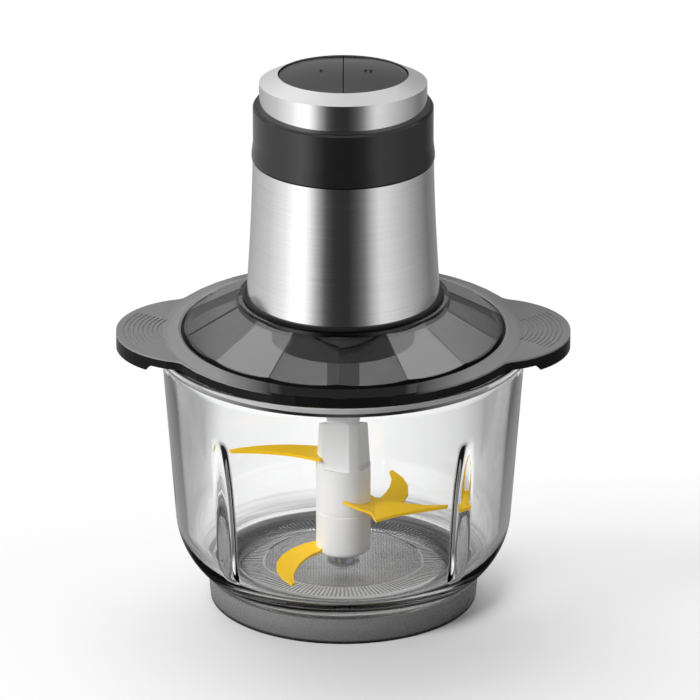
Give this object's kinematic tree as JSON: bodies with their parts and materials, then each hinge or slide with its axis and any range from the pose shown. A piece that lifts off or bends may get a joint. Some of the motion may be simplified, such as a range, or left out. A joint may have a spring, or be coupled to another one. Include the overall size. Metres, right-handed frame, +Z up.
{
  "type": "electric food chopper",
  "caption": "Glass bowl on a silicone foot, with rotating S blades, a smoky eared lid and a lift-off motor unit with two half-moon speed buttons.",
  "frame": {"origin": "centre of the base ring's underside, on the table", "axes": "+Z up along the common axis, +X to the right of the front view, -Y towards the front, ears of the lid on the X axis"},
  "size_m": [0.227, 0.184, 0.2806],
  "materials": {
    "glass_bowl": "clear pressed glass, polished",
    "base_ring": "matt grey silicone",
    "steel_pin": "turned stainless steel",
    "white_plastic": "satin white moulding",
    "blade_steel": "titanium-nitride coated, satin",
    "nylon": "natural nylon",
    "smoky_lid": "smoky translucent, polished",
    "seal_rubber": "soft grey silicone",
    "black_plastic": "satin black moulding",
    "screw_steel": "zinc plated",
    "shell_steel": "stainless steel brushed round the body",
    "housing_plastic": "black glass-filled moulding",
    "gloss_black": "polished black",
    "grommet_rubber": "soft black rubber",
    "cap_steel": "stainless steel brushed round the cap",
    "button_plastic": "dark grey, semi gloss",
    "spring_steel": "spring wire",
    "switch_plastic": "black moulding",
    "brass": "brass",
    "gear_steel": "machined steel",
    "core_steel": "laminated core steel",
    "copper": "enamelled copper",
    "carbon": "pressed carbon"
  },
  "bodies": {
    "bowl": {"glass_bowl": "glass_bowl", "base_ring": "base_ring", "bowl_pin": "steel_pin", "pin_washer": "steel_pin"},
    "blades": {"blade_shaft": "white_plastic", "blade_hub": "white_plastic", "upper_blade": "blade_steel", "lower_blade": "blade_steel", "pin_bush": "nylon"},
    "lid_group": {"lid": "smoky_lid", "lid_seal": "seal_rubber", "centre_seal": "seal_rubber"},
    "motor_unit": {"bottom_cover": "black_plastic", "cover_screws": "screw_steel", "steel_shell": "shell_steel", "inner_housing": "housing_plastic", "collar_band": "gloss_black", "cord_grommet": "grommet_rubber", "cap_ring": "cap_steel", "button_frame": "housing_plastic", "spring_left": "spring_steel", "spring_right": "spring_steel", "switch_plate": "housing_plastic", "switch_left": "switch_plastic", "switch_right": "switch_plastic", "gearbox_housing": "housing_plastic", "gearbox_cover": "housing_plastic", "output_bush": "brass", "ring_gear": "nylon", "lower_bearing": "gear_steel", "upper_bearing": "gear_steel", "field_core": "core_steel", "field_coils": "copper", "motor_bracket": "housing_plastic", "brush_holders": "brass", "carbon_brushes": "carbon"},
    "armature": {"armature_shaft": "gear_steel", "sun_pinion": "gear_steel", "armature_core": "core_steel", "commutator": "copper", "cooling_fan": "nylon"},
    "output": {"planet_carrier": "gear_steel", "planet_pins": "gear_steel", "drive_coupling": "housing_plastic"},
    "planet_1": {"planet_gear_1": "nylon"},
    "planet_2": {"planet_gear_2": "nylon"},
    "planet_3": {"planet_gear_3": "nylon"},
    "button_l": {"button_left": "button_plastic"},
    "button_r": {"button_right": "button_plastic"}
  },
  "joints": [
    {"name": "lid_lift", "type": "slide", "parent": "bowl", "child": "lid_group", "axis": [0, 0, 1], "range_m": [0, 0.12]},
    {"name": "motor_lift", "type": "slide", "parent": "lid_group", "child": "motor_unit", "axis": [0, 0, 1], "range_m": [0, 0.06]},
    {"name": "armature_spin", "type": "hinge", "parent": "motor_unit", "child": "armature", "pos_m": [0, 0, 0.21], "axis": [0, 0, 1], "continuous": true},
    {"name": "output_spin", "type": "hinge", "parent": "motor_unit", "child": "output", "pos_m": [0, 0, 0.15], "axis": [0, 0, 1], "continuous": true},
    {"name": "blade_spin", "type": "hinge", "parent": "bowl", "child": "blades", "pos_m": [0, 0, 0.03], "axis": [0, 0, 1], "continuous": true},
    {"name": "planet_1_spin", "type": "hinge", "parent": "output", "child": "planet_1", "pos_m": [0.0165, 0, 0.155], "axis": [0, 0, 1], "continuous": true},
    {"name": "planet_2_spin", "type": "hinge", "parent": "output", "child": "planet_2", "pos_m": [-0.00825, 0.01429, 0.155], "axis": [0, 0, 1], "continuous": true},
    {"name": "planet_3_spin", "type": "hinge", "parent": "output", "child": "planet_3", "pos_m": [-0.00825, -0.01429, 0.155], "axis": [0, 0, 1], "continuous": true},
    {"name": "left_button_press", "type": "slide", "parent": "motor_unit", "child": "button_l", "axis": [0, 0, -1], "range_m": [0, 0.0025], "stiffness_N_per_m": 900, "springref_m": -0.001, "deforming": ["spring_left"]},
    {"name": "right_button_press", "type": "slide", "parent": "motor_unit", "child": "button_r", "axis": [0, 0, -1], "range_m": [0, 0.0025], "stiffness_N_per_m": 900, "springref_m": -0.001, "deforming": ["spring_right"]}
  ],
  "couplings": [
    {"joint": "output_spin", "follows": "armature_spin", "ratio": 0.18182},
    {"joint": "blade_spin", "follows": "armature_spin", "ratio": 0.18182},
    {"joint": "planet_1_spin", "follows": "armature_spin", "ratio": -0.46753},
    {"joint": "planet_2_spin", "follows": "armature_spin", "ratio": -0.46753},
    {"joint": "planet_3_spin", "follows": "armature_spin", "ratio": -0.46753}
  ]
}
